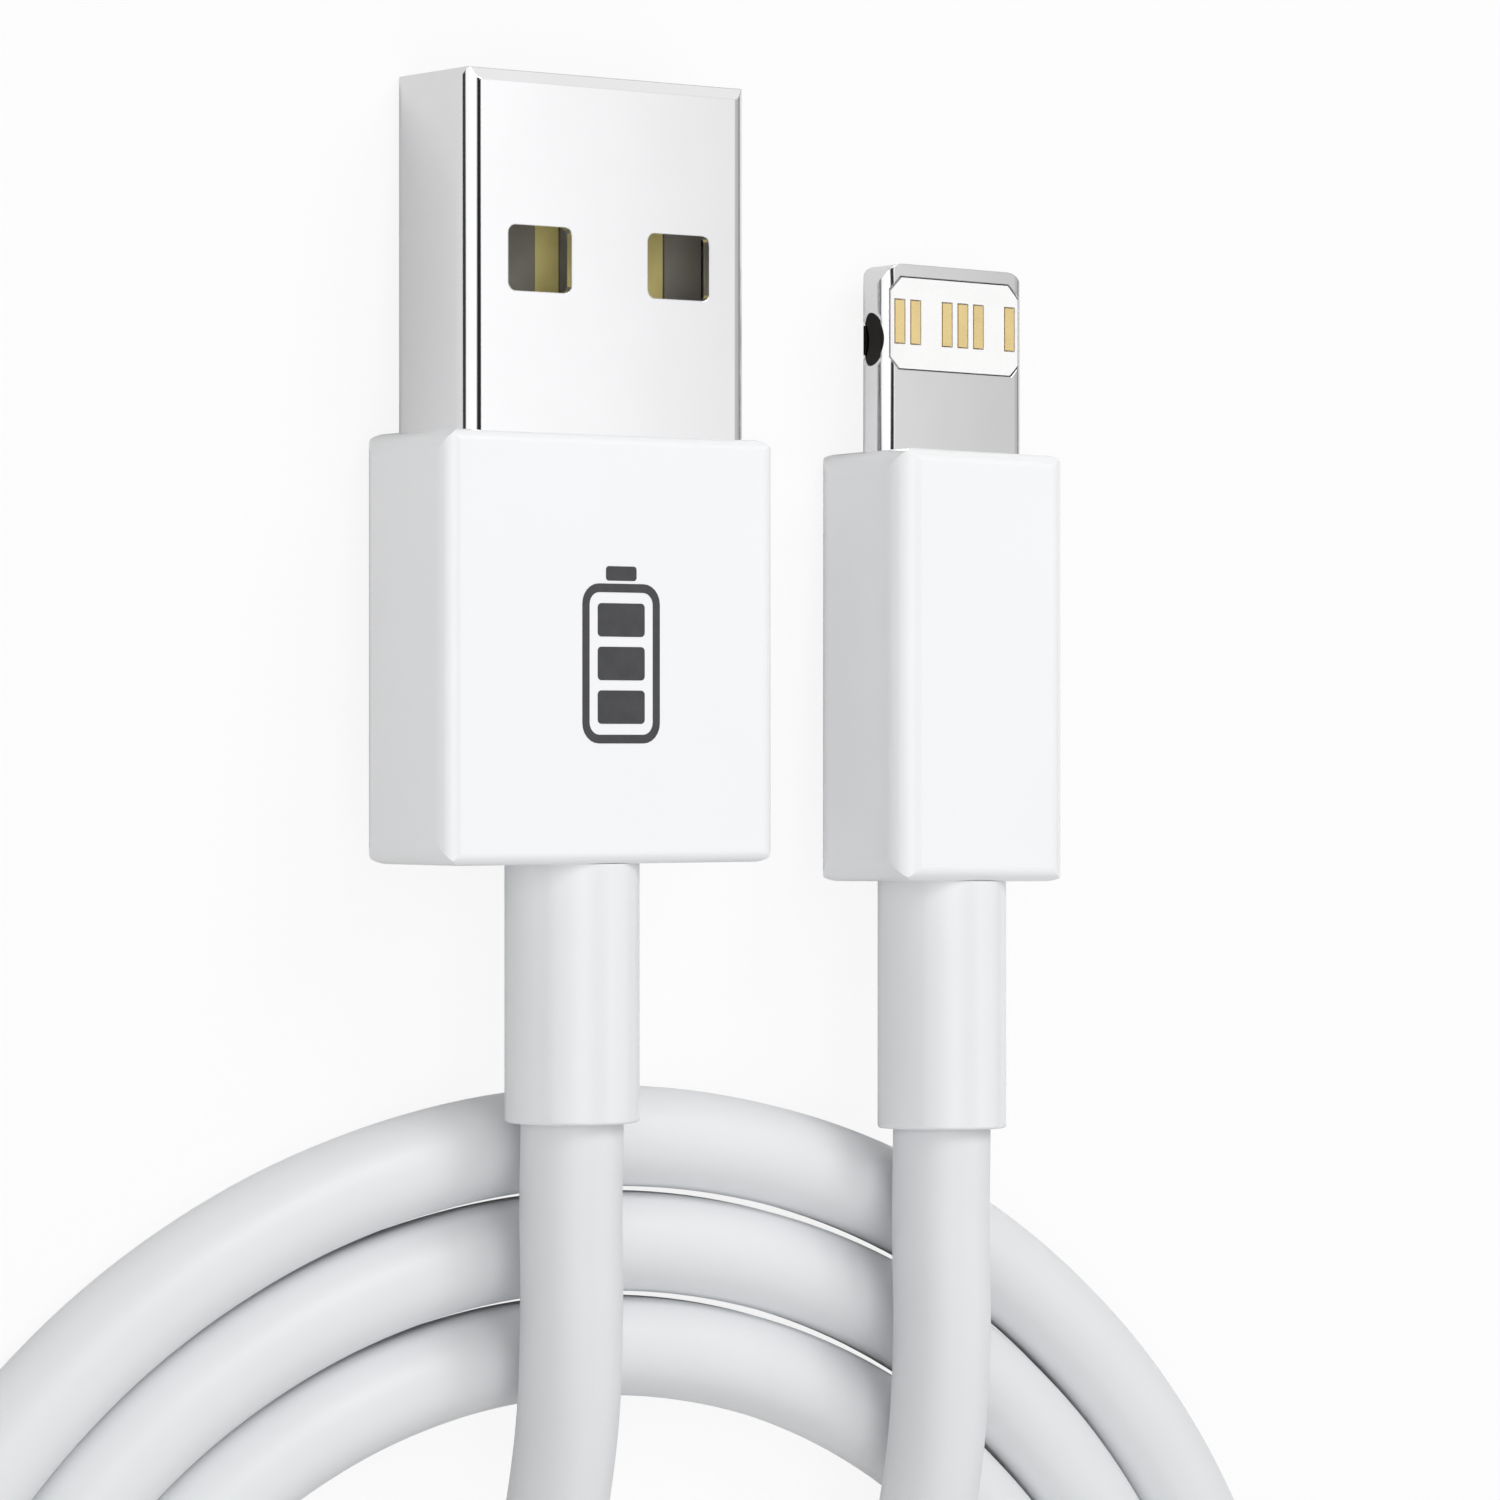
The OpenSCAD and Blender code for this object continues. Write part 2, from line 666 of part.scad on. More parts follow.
// Half of the sheet metal tunnel round the board
module shield_half(side) {
    at_phone() along(shield_y, shield_l) difference() {
        intersection() {
            round_rect(shield_w, shield_t, 0.4);
            translate([0, side * shield_t / 2]) square([shield_w, shield_t], center = true);
        }
        round_rect(shield_w - 2 * shield_wall, shield_t - 2 * shield_wall, 0.4 - shield_wall);
    }
}

module phone_shield_front() { color("silver") shield_half(1); }
module phone_shield_back() { color("silver") shield_half(-1); }

module phone_wire_red() { color("firebrick") at_phone() phone_wire(0); }
module phone_wire_white() { color("whitesmoke") at_phone() phone_wire(1); }
module phone_wire_green() { color("seagreen") at_phone() phone_wire(2); }
module phone_wire_black() { color("#202020") at_phone() phone_wire(3); }

module phone_jacket_end() { color("#f2f2ef") at_phone() jacket_end(); }
module phone_crimp_ring() { color("silver") at_phone() crimp_ring(); }

// Soft plastic that closes the shield's rear end round the wires
module phone_inner_mould() {
    inset = 2 * (shield_wall + fit);
    color("#e4e6df") at_phone() difference() {
        along(shield_y, board_y - 0.2 - shield_y)
            round_rect(shield_w - inset, shield_t - inset, 0.4 - shield_wall);
        for (i = [0 : 3]) phone_wire(i, wire_d + 2 * fit);
    }
}

module phone_housing() {
    color("#fafaf8") at_phone() difference() {
        soft_block(phone_w, phone_t, rear_y, phone_l, phone_edge_r, 0.8, phone_end_r);
        along(rear_y + rear_wall, phone_l - rear_wall - phone_front_wall)
            round_rect(cavity_w, cavity_t, 0.45);
        along(phone_front_y - phone_front_wall - 1, phone_front_wall + 2)
            round_rect(tab_w + 2 * fit, tab_t + 2 * fit, tab_edge_r + fit);
        rod_y(neck_d + 2 * fit, rear_y - 1, rear_wall + 2);
    }
}

module phone_strain_relief() {
    color("#fafaf8") at_phone() strain_relief(cavity_w - 2 * fit, cavity_t - 2 * fit);
}

// ---------------------------------------------------------------- cord

usb_axis = [0, cos(usb_tilt), -sin(usb_tilt)];
phone_axis = [sin(phone_yaw) * cos(phone_tilt), cos(phone_yaw) * cos(phone_tilt), -sin(phone_tilt)];

module cord_usb_run() {
    path = concat(usb_route, [coil_path[coil_rings + 2]]);
    color("#f2f2ef") tube(rings(path, tube_section, cord_r, -usb_axis, -coil_stop_dir));
}

module cord_phone_run() {
    path = concat(phone_route, [coil_path[0]]);
    color("#f2f2ef") tube(rings(path, tube_section, cord_r, -phone_axis, coil_start_dir));
}

module cord_coil() {
    color("#f2f2ef") tube(coil_ring_list);
}

usb_shell();
usb_tongue();
usb_contact_vbus();
usb_contact_dminus();
usb_contact_dplus();
usb_contact_gnd();
usb_wire_red();
usb_wire_white();
usb_wire_green();
usb_wire_black();
usb_jacket_end();
usb_crimp_ring();
usb_inner_mould();
usb_housing();
usb_strain_relief();
phone_tab_frame();
phone_tab_insert();
phone_pad_front_1();
phone_pad_front_2();
phone_pad_front_4();
phone_pad_front_5();
phone_pad_front_6();
phone_pad_front_8();
phone_pad_back_1();
phone_pad_back_2();
phone_pad_back_4();
phone_pad_back_5();
phone_pad_back_6();
phone_pad_back_8();
phone_board();
phone_id_chip();
phone_power_chip();
phone_capacitor_1();
phone_capacitor_2();
phone_capacitor_3();
phone_shield_front();
phone_shield_back();
phone_wire_red();
phone_wire_white();
phone_wire_green();
phone_wire_black();
phone_jacket_end();
phone_crimp_ring();
phone_inner_mould();
phone_housing();
phone_strain_relief();
cord_usb_run();
cord_phone_run();
cord_coil();
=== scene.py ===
import math

import bpy
from mathutils import Matrix, Vector


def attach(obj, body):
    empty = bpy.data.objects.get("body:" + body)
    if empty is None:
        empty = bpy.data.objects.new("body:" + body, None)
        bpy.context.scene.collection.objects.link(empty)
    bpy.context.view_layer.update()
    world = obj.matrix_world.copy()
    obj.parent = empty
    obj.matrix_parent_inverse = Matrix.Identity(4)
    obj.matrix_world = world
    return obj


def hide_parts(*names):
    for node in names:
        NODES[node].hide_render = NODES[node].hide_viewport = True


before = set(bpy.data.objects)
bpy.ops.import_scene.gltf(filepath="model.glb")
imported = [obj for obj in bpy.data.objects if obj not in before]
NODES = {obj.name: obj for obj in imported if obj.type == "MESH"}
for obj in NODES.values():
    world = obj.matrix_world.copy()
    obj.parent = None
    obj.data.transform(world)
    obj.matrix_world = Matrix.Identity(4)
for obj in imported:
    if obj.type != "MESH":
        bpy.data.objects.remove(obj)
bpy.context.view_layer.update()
MM = 0.001

# Lengths are in millimetres and angles in degrees, unless a comment says otherwise.

# ---------------------------------------------------------------- plug frames
# Each plug lies along +Y from the point where its cord leaves it, nose down, as in part.scad.

SLEEVE_L = 9.0
USB_EXIT_Z = 5.6
TAB_EXIT_Z = 5.3
USB_EXIT = Vector((-7.2, -17.6, USB_EXIT_Z))
TAB_EXIT = Vector((9.7, -18.5, TAB_EXIT_Z))
TAB_YAW = 0.9
# The lower front corner that each plug rests on: how far ahead of the exit, how far below the
# plug's axis, and the radius round it
USB_CORNER = (35.7, 2.25, 0.0)
TAB_CORNER = (24.1, 2.1, 0.5)


def tilt(exit_z, ahead, below, radius):
    """The angle, in radians, that brings a plug's corner down to the surface."""
    return math.asin((exit_z - radius) / math.hypot(ahead, below)) - math.atan2(below, ahead)


def plug_matrix(at, tilt_radians, yaw=0.0):
    return (
        Matrix.Translation(at * MM)
        @ Matrix.Rotation(math.radians(-yaw), 4, "Z")
        @ Matrix.Rotation(-tilt_radians, 4, "X")
    )


USB_TILT = tilt(USB_EXIT_Z, *USB_CORNER)
USB = plug_matrix(USB_EXIT, USB_TILT)
TAB = plug_matrix(TAB_EXIT, tilt(TAB_EXIT_Z, *TAB_CORNER), TAB_YAW)

# ---------------------------------------------------------------- camera
# A long lens, level with the USB plug and turned round its axis to see its left side. Its place
# is measured from the middle of the USB housing's rear face.

VIEW_TURN = 0.6531  # radians
CAMERA_BACK = 208.52
CAMERA_RIGHT = 6.1846
CAMERA_UP = 3.9247
SENSOR = 36.0
LENS = 144.0
CLIP = (0.01, 50.0)  # metres

axis_x = Vector((1, 0, 0))
plug_axis = Vector((0, math.cos(USB_TILT), -math.sin(USB_TILT)))
plug_normal = Vector((0, math.sin(USB_TILT), math.cos(USB_TILT)))
cam_right = math.cos(VIEW_TURN) * axis_x + math.sin(VIEW_TURN) * plug_normal
cam_view = math.sin(VIEW_TURN) * axis_x - math.cos(VIEW_TURN) * plug_normal
housing_rear = USB_EXIT + SLEEVE_L * plug_axis
cam_at = housing_rear + CAMERA_RIGHT * cam_right + CAMERA_UP * plug_axis - CAMERA_BACK * cam_view
cam_turn = Matrix((cam_right, plug_axis, -cam_view)).transposed().to_4x4()

camera = bpy.data.objects.new("camera", bpy.data.cameras.new("camera"))
bpy.context.scene.collection.objects.link(camera)
camera.data.sensor_width = SENSOR
camera.data.lens = LENS
camera.data.clip_start, camera.data.clip_end = CLIP
camera.matrix_world = Matrix.Translation(cam_at * MM) @ cam_turn
bpy.context.scene.camera = camera

# ---------------------------------------------------------------- cord
# The same route as in part.scad: over the turns, through the coil, round, and into the coil's ends.

CORD_D = 3.6
CORD_R = CORD_D / 2
# The coil is an oval spiral: its middle, its two half axes and the long one's direction
COIL_MID = (-2.2, -48.1)
COIL_LONG = 33.0
COIL_SHORT = 29.1
COIL_TURN = -18.9
COIL_GAP = 0.18
COIL_PITCH = CORD_D + COIL_GAP
# Where its inner end is, and the steps from there to its outer end
COIL_FROM = -105.0
COIL_STEP = 15.0
COIL_STEPS = 66
# Angle from the inner end at which it has the half axes above
OUTER_PASS = 885.0
FULL_TURN = 360.0

USB_ROUTE = [
    USB_EXIT, (-7.2, -20.5, 5.8), (-7, -24, 5.9), (-6.6, -28, 5.5), (-6.2, -32, 4.5),
    (-5.9, -36.5, 3), (-5.7, -40.5, 2), (-5.6, -43.5, 1.6), (-5.4, -47, 2), (-5, -51.5, 3.1),
    (-4.1, -56.7, 4.5), (-2.9, -62.8, 5.6), (0.1, -68.2, 5.9), (4.9, -72.6, 5.9),
    (10.4, -74.8, 5.7), (16, -75, 4.9), (20.9, -72.6, 3.4),
]
TAB_ROUTE = [
    TAB_EXIT, (9.6, -22, 5.7), (9.8, -26, 5.9), (10, -30, 5.7), (10.2, -34, 4.9),
    (10.4, -38.5, 3.4), (10.5, -43, 2.1), (10.5, -48.5, 1.5), (10.2, -54, 1.5), (8.6, -59.6, 1.5),
    (5.2, -64, 1.5), (0.2, -66.8, 1.5), (-5.6, -67.4, 1.5),
]

# Steps of the drawn curve between two points, and steps of its section
CURVE_STEPS = 10
SECTION_STEPS = 7
# Steps between two points for measuring the curve's length
LENGTH_STEPS = 40


def coil_point(i):
    """The coil's middle line, i steps from its inner end."""
    a = i * COIL_STEP
    growth = COIL_PITCH * (a - OUTER_PASS) / FULL_TURN
    t, turn = math.radians(COIL_FROM - a), math.radians(COIL_TURN)
    x = (COIL_LONG + growth) * math.cos(t)
    y = (COIL_SHORT + growth) * math.sin(t)
    return (
        COIL_MID[0] + x * math.cos(turn) - y * math.sin(turn),
        COIL_MID[1] + x * math.sin(turn) + y * math.cos(turn),
        CORD_R,
    )


def circle_tangent(before, at, after):
    """The direction, at the middle point, of the circle through three points."""
    a, b = (at - before).length, (after - at).length
    if a == 0:
        return (after - at) / b
    if b == 0:
        return (at - before) / a
    return ((at - before) / a * b + (after - at) / b * a) / (a + b)


def smooth_curve(name, points, radius):
    """A round tube along a Bezier curve whose handles are a third of each span.

    Its bevel is 1 deep and its points carry the radius, so that its box is its true one.
    """
    data = bpy.data.curves.new(name, "CURVE")
    data.dimensions = "3D"
    data.resolution_u = CURVE_STEPS
    data.bevel_depth = 1.0
    data.bevel_resolution = SECTION_STEPS
    data.use_fill_caps = True
    spline = data.splines.new("BEZIER")
    spline.bezier_points.add(len(points) - 1)
    befores = points[:1] + points[:-1]
    afters = points[1:] + points[-1:]
    for knot, before, at, after in zip(spline.bezier_points, befores, points, afters):
        tangent = circle_tangent(before, at, after)
        knot.handle_left_type = knot.handle_right_type = "FREE"
        knot.co = at
        knot.radius = radius
        knot.handle_left = at - tangent * (at - before).length / 3
        knot.handle_right = at + tangent * (after - at).length / 3
    obj = bpy.data.objects.new(name, data)
    bpy.context.scene.collection.objects.link(obj)
    return obj


def curve_length(knots):
    total = 0.0
    for p, q in zip(knots, knots[1:]):
        last = p.co
        for k in range(1, LENGTH_STEPS + 1):
            t = k / LENGTH_STEPS
            s = 1 - t
            at = (
                s**3 * p.co + 3 * s * s * t * p.handle_right
                + 3 * s * t * t * q.handle_left + t**3 * q.co
            )
            total += (at - last).length
            last = at
    return total


coil = [coil_point(i) for i in range(COIL_STEPS + 1)]
route = USB_ROUTE + coil[::-1] + TAB_ROUTE[::-1]
route = [Vector((x, y, max(z, CORD_R))) * MM for x, y, z in route]
cord = smooth_curve("cord", route, CORD_R * MM)

# The two ends leave the sleeves along the plugs' axes, with handles of these lengths. The one
# that points out of the sleeve is the first knot's right handle and the last knot's left one.
knots = cord.data.splines[0].bezier_points
for knot, matrix, reach in ((knots[0], USB, 1.0), (knots[-1], TAB, -1.2)):
    out = -(matrix.to_3x3() @ Vector((0, 1, 0)))
    knot.handle_right = knot.co + out * reach * MM
    knot.handle_left = knot.co - out * reach * MM

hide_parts("cord_usb_run", "cord_phone_run", "cord_coil")
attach(cord, "root")

# ---------------------------------------------------------------- materials

# Noise keeps to about this range
NOISE_RANGE = (0.3, 0.7)
GRAIN_DETAIL = 4.0
EDGE_SAMPLES = 6


def rgb(r, g, b):
    return (r, g, b, 1.0)


class Tree:
    """Adds nodes to a node tree. An input takes a plain value or another node's output."""

    def __init__(self, node_tree):
        self.nodes = node_tree.nodes
        self.links = node_tree.links

    def feed(self, socket, value):
        if isinstance(value, bpy.types.NodeSocket):
            self.links.new(value, socket)
        else:
            socket.default_value = value

    def add(self, kind, inputs=(), **settings):
        """Adds a node. Its inputs are given by name or number."""
        node = self.nodes.new(kind)
        for name, value in settings.items():
            setattr(node, name, value)
        for name, value in dict(inputs).items():
            self.feed(node.inputs[name], value)
        return node

    def maths(self, operation, *values):
        return self.add("ShaderNodeMath", enumerate(values), operation=operation).outputs[0]

    def map_range(self, value, source, target, **settings):
        ends = {
            "From Min": source[0], "From Max": source[1], "To Min": target[0], "To Max": target[1],
        }
        node = self.add("ShaderNodeMapRange", {"Value": value, **ends}, **settings)
        return node.outputs["Result"]

    def mix(self, factor, first, second):
        """Mixes two colours."""
        node = self.add("ShaderNodeMix", {"Factor": factor}, data_type="RGBA")
        colours = [socket for socket in node.inputs if socket.type == "RGBA"]
        self.feed(colours[0], first)
        self.feed(colours[1], second)
        return next(socket for socket in node.outputs if socket.type == "RGBA")

    def mix_shaders(self, factor, first, second):
        inputs = {"Fac": factor, 1: first, 2: second}
        return self.add("ShaderNodeMixShader", inputs).outputs["Shader"]


class Finish(Tree):
    """The node tree of a material round its Principled shader."""

    def __init__(self, material):
        material.use_nodes = True
        super().__init__(material.node_tree)
        self.shader = self.nodes["Principled BSDF"]
        self.where = self.add("ShaderNodeTexCoord").outputs["Object"]

    def noise(self, size, detail, stretch=(1, 1, 1)):
        """Noise with blotches of about this size, longer along an axis with a smaller stretch."""
        scale = [s / (size * MM) for s in stretch]
        mapping = self.add("ShaderNodeMapping", {"Vector": self.where, "Scale": scale})
        inputs = {"Vector": mapping.outputs["Vector"], "Scale": 1.0, "Detail": detail}
        return self.add("ShaderNodeTexNoise", inputs).outputs["Fac"]

    def tint(self, factor, tone):
        """Mixes tone into the base colour that is already there."""
        base = self.shader.inputs["Base Color"]
        self.feed(base, self.mix(factor, base.links[0].from_socket, tone))

    def bump(self, height, depth, edge):
        """Relief of this depth, on edges that look rounded by the radius edge."""
        bump = self.add("ShaderNodeBump", {"Height": height, "Distance": depth * MM})
        if edge:
            bevel = self.add("ShaderNodeBevel", {"Radius": edge * MM}, samples=EDGE_SAMPLES)
            self.feed(bump.inputs["Normal"], bevel.outputs["Normal"])
        self.feed(self.shader.inputs["Normal"], bump.outputs["Normal"])


def surface(
    name, base, spread, rough, metallic=0.0, blotch=2.0, grain=0.08, grain_depth=0.002,
    stretch=(1, 1, 1), ior=1.46, detail=3.0, edge=0.0,
):
    """Colour that drifts over blotches, and roughness and relief that follow a fine grain.

    spread is the share by which the colour drifts to each side, and rough is the roughness's
    range. The grain is longer along an axis with a smaller stretch.
    """
    material = bpy.data.materials.new(name)
    finish = Finish(material)
    shader = finish.shader
    slow = finish.noise(blotch, detail)
    fine = finish.noise(grain, GRAIN_DETAIL, stretch)
    dark = rgb(*[c * (1 - spread) for c in base])
    light = rgb(*[min(1.0, c * (1 + spread)) for c in base])
    drift = finish.map_range(slow, NOISE_RANGE, (0.0, 1.0))
    finish.feed(shader.inputs["Base Color"], finish.mix(drift, dark, light))
    finish.feed(shader.inputs["Roughness"], finish.map_range(fine, NOISE_RANGE, rough))
    finish.bump(fine, grain_depth, edge)
    shader.inputs["Metallic"].default_value = metallic
    shader.inputs["IOR"].default_value = ior
    return material


def paint_recess_shade(material, matrix, middle, half, beyond, tone):
    """Paints shade into an oval recess on both narrow sides of a plug, as a dark colour standing in
    for the hollow's shading and dark reflection.

    The oval lies round the point middle of the plug's frame, half is its size along Y and Z, and
    beyond is the distance from the plug's middle plane where it starts.
    """
    finish = Finish(material)
    at = matrix @ (Vector(middle) * MM)
    shift = finish.add("ShaderNodeVectorMath", {0: finish.where, 1: at}, operation="SUBTRACT")
    parts = []
    for axis, size in zip(((1, 0, 0), (0, 1, 0), (0, 0, 1)), (beyond, *half)):
        scaled_axis = matrix.to_3x3() @ Vector(axis) / (size * MM)
        inputs = {0: shift.outputs["Vector"], 1: scaled_axis}
        dot = finish.add("ShaderNodeVectorMath", inputs, operation="DOT_PRODUCT")
        parts.append(finish.maths("ABSOLUTE", dot.outputs["Value"]))
    across, along, up = parts
    oval = finish.maths("ADD", finish.maths("POWER", along, 2.0), finish.maths("POWER", up, 2.0))
    in_oval = finish.maths("LESS_THAN", oval, 1.0)
    outside = finish.maths("GREATER_THAN", across, 1.0)
    # Painted shade: inside the oval and beyond the middle plane, the base colour is mixed toward
    # the dark tone.
    finish.tint(finish.maths("MULTIPLY", in_oval, outside), tone)


def insulation(colour, base):
    return surface(
        "wire_" + colour, base, 0.05, (0.28, 0.36), blotch=0.8, grain=0.05, grain_depth=0.0008,
    )


jacket = surface(
    "jacket_soft_white", (0.78, 0.79, 0.805), 0.012, (0.40, 0.48), blotch=6.0, grain=0.06,
    grain_depth=0.0010, ior=1.48,
)
sleeve = surface(
    "sleeve_moulded_white", (0.84, 0.85, 0.865), 0.01, (0.20, 0.26), blotch=5.0, grain=0.10,
    grain_depth=0.0008, ior=1.5,
)
housing = surface(
    "housing_polished_white", (0.895, 0.90, 0.91), 0.008, (0.10, 0.15), blotch=6.0, grain=0.25,
    grain_depth=0.0006,
)
shell = surface(
    "shell_nickel", (0.80, 0.80, 0.81), 0.012, (0.045, 0.075), 1.0, blotch=4.0, grain=0.03,
    grain_depth=0.00005, stretch=(1, 0.06, 1), edge=0.06,
)
tab_steel = surface(
    "tab_steel_satin", (0.80, 0.80, 0.81), 0.015, (0.08, 0.13), 1.0, blotch=2.0, grain=0.03,
    grain_depth=0.0001, stretch=(1, 0.08, 1), edge=0.06,
)
spring_gold = surface(
    "spring_contact_gold", (0.98, 0.84, 0.34), 0.05, (0.34, 0.44), 0.1, blotch=0.8, grain=0.02,
    grain_depth=0.0006, stretch=(1, 0.15, 1),
)
insert_white = surface(
    "insert_moulded_white", (0.90, 0.90, 0.895), 0.015, (0.22, 0.30), blotch=1.2, grain=0.05,
    grain_depth=0.0008,
)
gold = surface(
    "contact_gold", (0.96, 0.75, 0.36), 0.04, (0.24, 0.34), 1.0, blotch=0.8, grain=0.02,
    grain_depth=0.0004, stretch=(1, 0.15, 1),
)
tongue = surface(
    "tongue_moulded_grey", (0.30, 0.285, 0.25), 0.06, (0.36, 0.46), blotch=1.0, grain=0.05,
    grain_depth=0.0015,
)
tinned = surface(
    "tin_plate", (0.66, 0.67, 0.68), 0.05, (0.30, 0.42), 1.0, blotch=0.7, grain=0.04,
    grain_depth=0.0008,
)
mould = surface(
    "inner_mould_soft", (0.74, 0.75, 0.71), 0.05, (0.45, 0.55), blotch=1.2, grain=0.08,
    grain_depth=0.002,
)
board = surface(
    "board_green_mask", (0.03, 0.16, 0.08), 0.25, (0.22, 0.32), blotch=0.35, grain=0.05,
    grain_depth=0.001, detail=1.0,
)
chip = surface(
    "chip_package", (0.025, 0.025, 0.028), 0.15, (0.42, 0.52), blotch=0.4, grain=0.03,
    grain_depth=0.001,
)
ceramic = surface(
    "capacitor_ceramic", (0.42, 0.31, 0.20), 0.10, (0.35, 0.45), blotch=0.25, grain=0.04,
    grain_depth=0.001,
)
ink = surface(
    "ink_dark_grey", (0.055, 0.055, 0.06), 0.10, (0.35, 0.45), blotch=0.5, grain=0.05,
    grain_depth=0.0006,
)

# The first of these words that a node's name holds gives its material.
MATERIALS = {
    "wire_red": insulation("red", (0.50, 0.03, 0.03)),
    "wire_white": insulation("white", (0.80, 0.80, 0.78)),
    "wire_green": insulation("green", (0.04, 0.30, 0.10)),
    "wire_black": insulation("black", (0.02, 0.02, 0.02)),
    "jacket_end": jacket, "strain_relief": sleeve, "housing": housing, "usb_shell": shell,
    "usb_tongue": tongue, "usb_contact": spring_gold, "phone_pad": gold, "tab_frame": tab_steel,
    "tab_insert": insert_white, "inner_mould": mould, "crimp_ring": tinned, "shield": tinned,
    "board": board, "chip": chip, "capacitor": ceramic, "cord_": jacket,
}
for node_name, node in NODES.items():
    node.data.materials.clear()
    node.data.materials.append(next(MATERIALS[word] for word in MATERIALS if word in node_name))
cord.data.materials.append(jacket)

# The tab's two scoops get painted shade: their bare steel is coloured nearly black to stand in for
# the shade and dark reflection of the hollows. Their sizes and places are in the plug's frame.
TAB_TIP = 31.4
SCOOP_FROM_TIP = 2.75
SCOOP_HALF = (0.97, 0.6)
SCOOP_BEYOND = 3.0
# The nearly black colour painted into the scoops as their shade
SCOOP_PAINTED_SHADE = rgb(0.02, 0.019, 0.017)
paint_recess_shade(tab_steel, TAB, (0, TAB_TIP - SCOOP_FROM_TIP, 0), SCOOP_HALF, SCOOP_BEYOND, SCOOP_PAINTED_SHADE)

# ---------------------------------------------------------------- printed mark
# A plain battery symbol in dark ink on the USB housing's broad face: an outline with three bars
# and a cap. Each size is a width, a height and a corner radius, and places are in the plug's
# frame.

USB_TOP = 2.55
INK_T = 0.012
INK_GAP = 0.001
SYMBOL_AT = (0.25, 15.9)
CASE_OUTSIDE = (3.3, 5.5, 0.7)
CASE_INSIDE = (2.7, 4.9, 0.42)
CAP = (1.3, 0.5, 0.12)
CAP_UP = 3.1
BAR = (2.0, 1.15, 0.15)
BARS_UP = (-1.5, 0.0, 1.5)
CORNER_STEPS = 6


def rounded(width, height, radius, up=0.0):
    """The outline of a rounded rectangle, moved up."""
    x, y = width / 2 - radius, height / 2 - radius
    points = []
    for i, (corner_x, corner_y) in enumerate(((x, y), (-x, y), (-x, -y), (x, -y))):
        for k in range(CORNER_STEPS + 1):
            a = math.radians(90 * (i + k / CORNER_STEPS))
            points.append((corner_x + radius * math.cos(a), corner_y + up + radius * math.sin(a)))
    return points


class Print:
    """Closed flat solids of ink."""

    def __init__(self):
        self.verts, self.faces = [], []

    def levels(self, outline):
        """Adds the outline at the ink's underside and top, and gives the first number of each."""
        base, n = len(self.verts), len(outline)
        self.verts += [(x, y, z) for z in (0.0, INK_T) for x, y in outline]
        return base, base + n

    def strip(self, first, second, n):
        """Joins two outlines of n points, given by their first numbers."""
        for k in range(n):
            j = (k + 1) % n
            self.faces.append((first + k, first + j, second + j, second + k))

    def plate(self, outline):
        n = len(outline)
        low, high = self.levels(outline)
        self.faces.append(tuple(high + k for k in range(n)))
        self.faces.append(tuple(low + k for k in reversed(range(n))))
        self.strip(low, high, n)

    def ring(self, outer, inner):
        n = len(outer)
        outer_low, outer_high = self.levels(outer)
        inner_low, inner_high = self.levels(inner)
        self.strip(outer_low, outer_high, n)
        self.strip(outer_high, inner_high, n)
        self.strip(inner_high, inner_low, n)
        self.strip(inner_low, outer_low, n)


symbol = Print()
symbol.ring(rounded(*CASE_OUTSIDE), rounded(*CASE_INSIDE))
symbol.plate(rounded(*CAP, up=CAP_UP))
for bar_up in BARS_UP:
    symbol.plate(rounded(*BAR, up=bar_up))

symbol_matrix = USB @ Matrix.Translation(Vector((*SYMBOL_AT, USB_TOP + INK_GAP)) * MM)
symbol_mesh = bpy.data.meshes.new("usb_printed_symbol")
symbol_points = [symbol_matrix @ (Vector(v) * MM) for v in symbol.verts]
symbol_mesh.from_pydata(symbol_points, [], symbol.faces)
symbol_mesh.validate()
symbol_mesh.update()
symbol_mesh.materials.append(ink)
mark = bpy.data.objects.new("usb_printed_symbol", symbol_mesh)
bpy.context.scene.collection.objects.link(mark)
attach(mark, "root")

# ---------------------------------------------------------------- floor
# Pale paper that the camera sees nearly as white, with part of its shadows.

FLOOR_HALF = 1.5  # metres
PAPER_TONE = 0.82
PAPER_ROUGH = 0.8
WHITE_SHARE = 0.88

floor_mesh = bpy.data.meshes.new("floor")
floor_corners = ((-1, -1), (1, -1), (1, 1), (-1, 1))
floor_mesh.from_pydata(
    [(x * FLOOR_HALF, y * FLOOR_HALF, 0) for x, y in floor_corners], [], [(0, 1, 2, 3)]
)
floor = bpy.data.objects.new("floor", floor_mesh)
bpy.context.scene.collection.objects.link(floor)

paper = bpy.data.materials.new("floor_paper")
paper.use_nodes = True
paper_tree = Tree(paper.node_tree)
paper_shader = paper_tree.nodes["Principled BSDF"]
paper_shader.inputs["Base Color"].default_value = rgb(PAPER_TONE, PAPER_TONE, PAPER_TONE)
paper_shader.inputs["Roughness"].default_value = PAPER_ROUGH
paper_shader.inputs["Specular IOR Level"].default_value = 0.0
paper_glow = paper_tree.add("ShaderNodeEmission", {"Strength": 1.0})
seen = paper_tree.add("ShaderNodeLightPath").outputs["Is Camera Ray"]
paper_surface = paper_tree.mix_shaders(
    paper_tree.maths("MULTIPLY", seen, WHITE_SHARE),
    paper_shader.outputs["BSDF"],
    paper_glow.outputs["Emission"],
)
paper_tree.feed(paper_tree.nodes["Material Output"].inputs["Surface"], paper_surface)
floor.data.materials.append(paper)

# ---------------------------------------------------------------- world
# The room is a dome of soft light. Along Y it has three rows that blend into each other: past
# the plugs' tips, beside the plugs, and past the coil. In a row, the light's level follows the
# angle round Y: 0 is the horizon at -X, 90 is overhead and 180 is the horizon at +X. The middle
# row's two dark bands draw the lines along the shell's edge. The metal's broad faces mirror its
# band from 121 to 138, and the shell's mouth mirrors the tips' band from 131 to 146.

